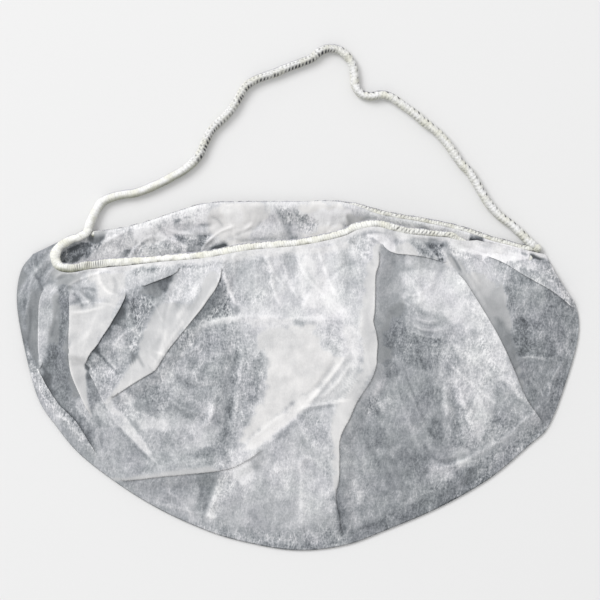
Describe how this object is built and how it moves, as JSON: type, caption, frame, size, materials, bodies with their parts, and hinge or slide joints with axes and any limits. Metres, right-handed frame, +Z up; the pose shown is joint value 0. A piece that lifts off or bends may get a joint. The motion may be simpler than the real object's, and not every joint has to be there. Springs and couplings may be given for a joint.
{
  "type": "beard cover",
  "caption": "Half-moon pouch of white nonwoven cloth with an elastic mouth and a head loop, lying flat. Covers a beard in clean work.",
  "frame": {"origin": "on the table, under the middle of the pouch's box without the head loop", "axes": "+X from the left end of the mouth to the right end, +Y from the bottom fold to the mouth, +Z up from the table"},
  "size_m": [0.2659, 0.2388, 0.0252],
  "materials": {
    "cloth": "matt white spunbond nonwoven, slightly see-through",
    "elastic": "matt off-white thread over round elastic"
  },
  "bodies": {
    "root": {"pouch": "cloth", "front_elastic": "elastic", "back_elastic": "elastic", "head_loop": "elastic", "right_tack": "elastic"}
  },
  "joints": []
}
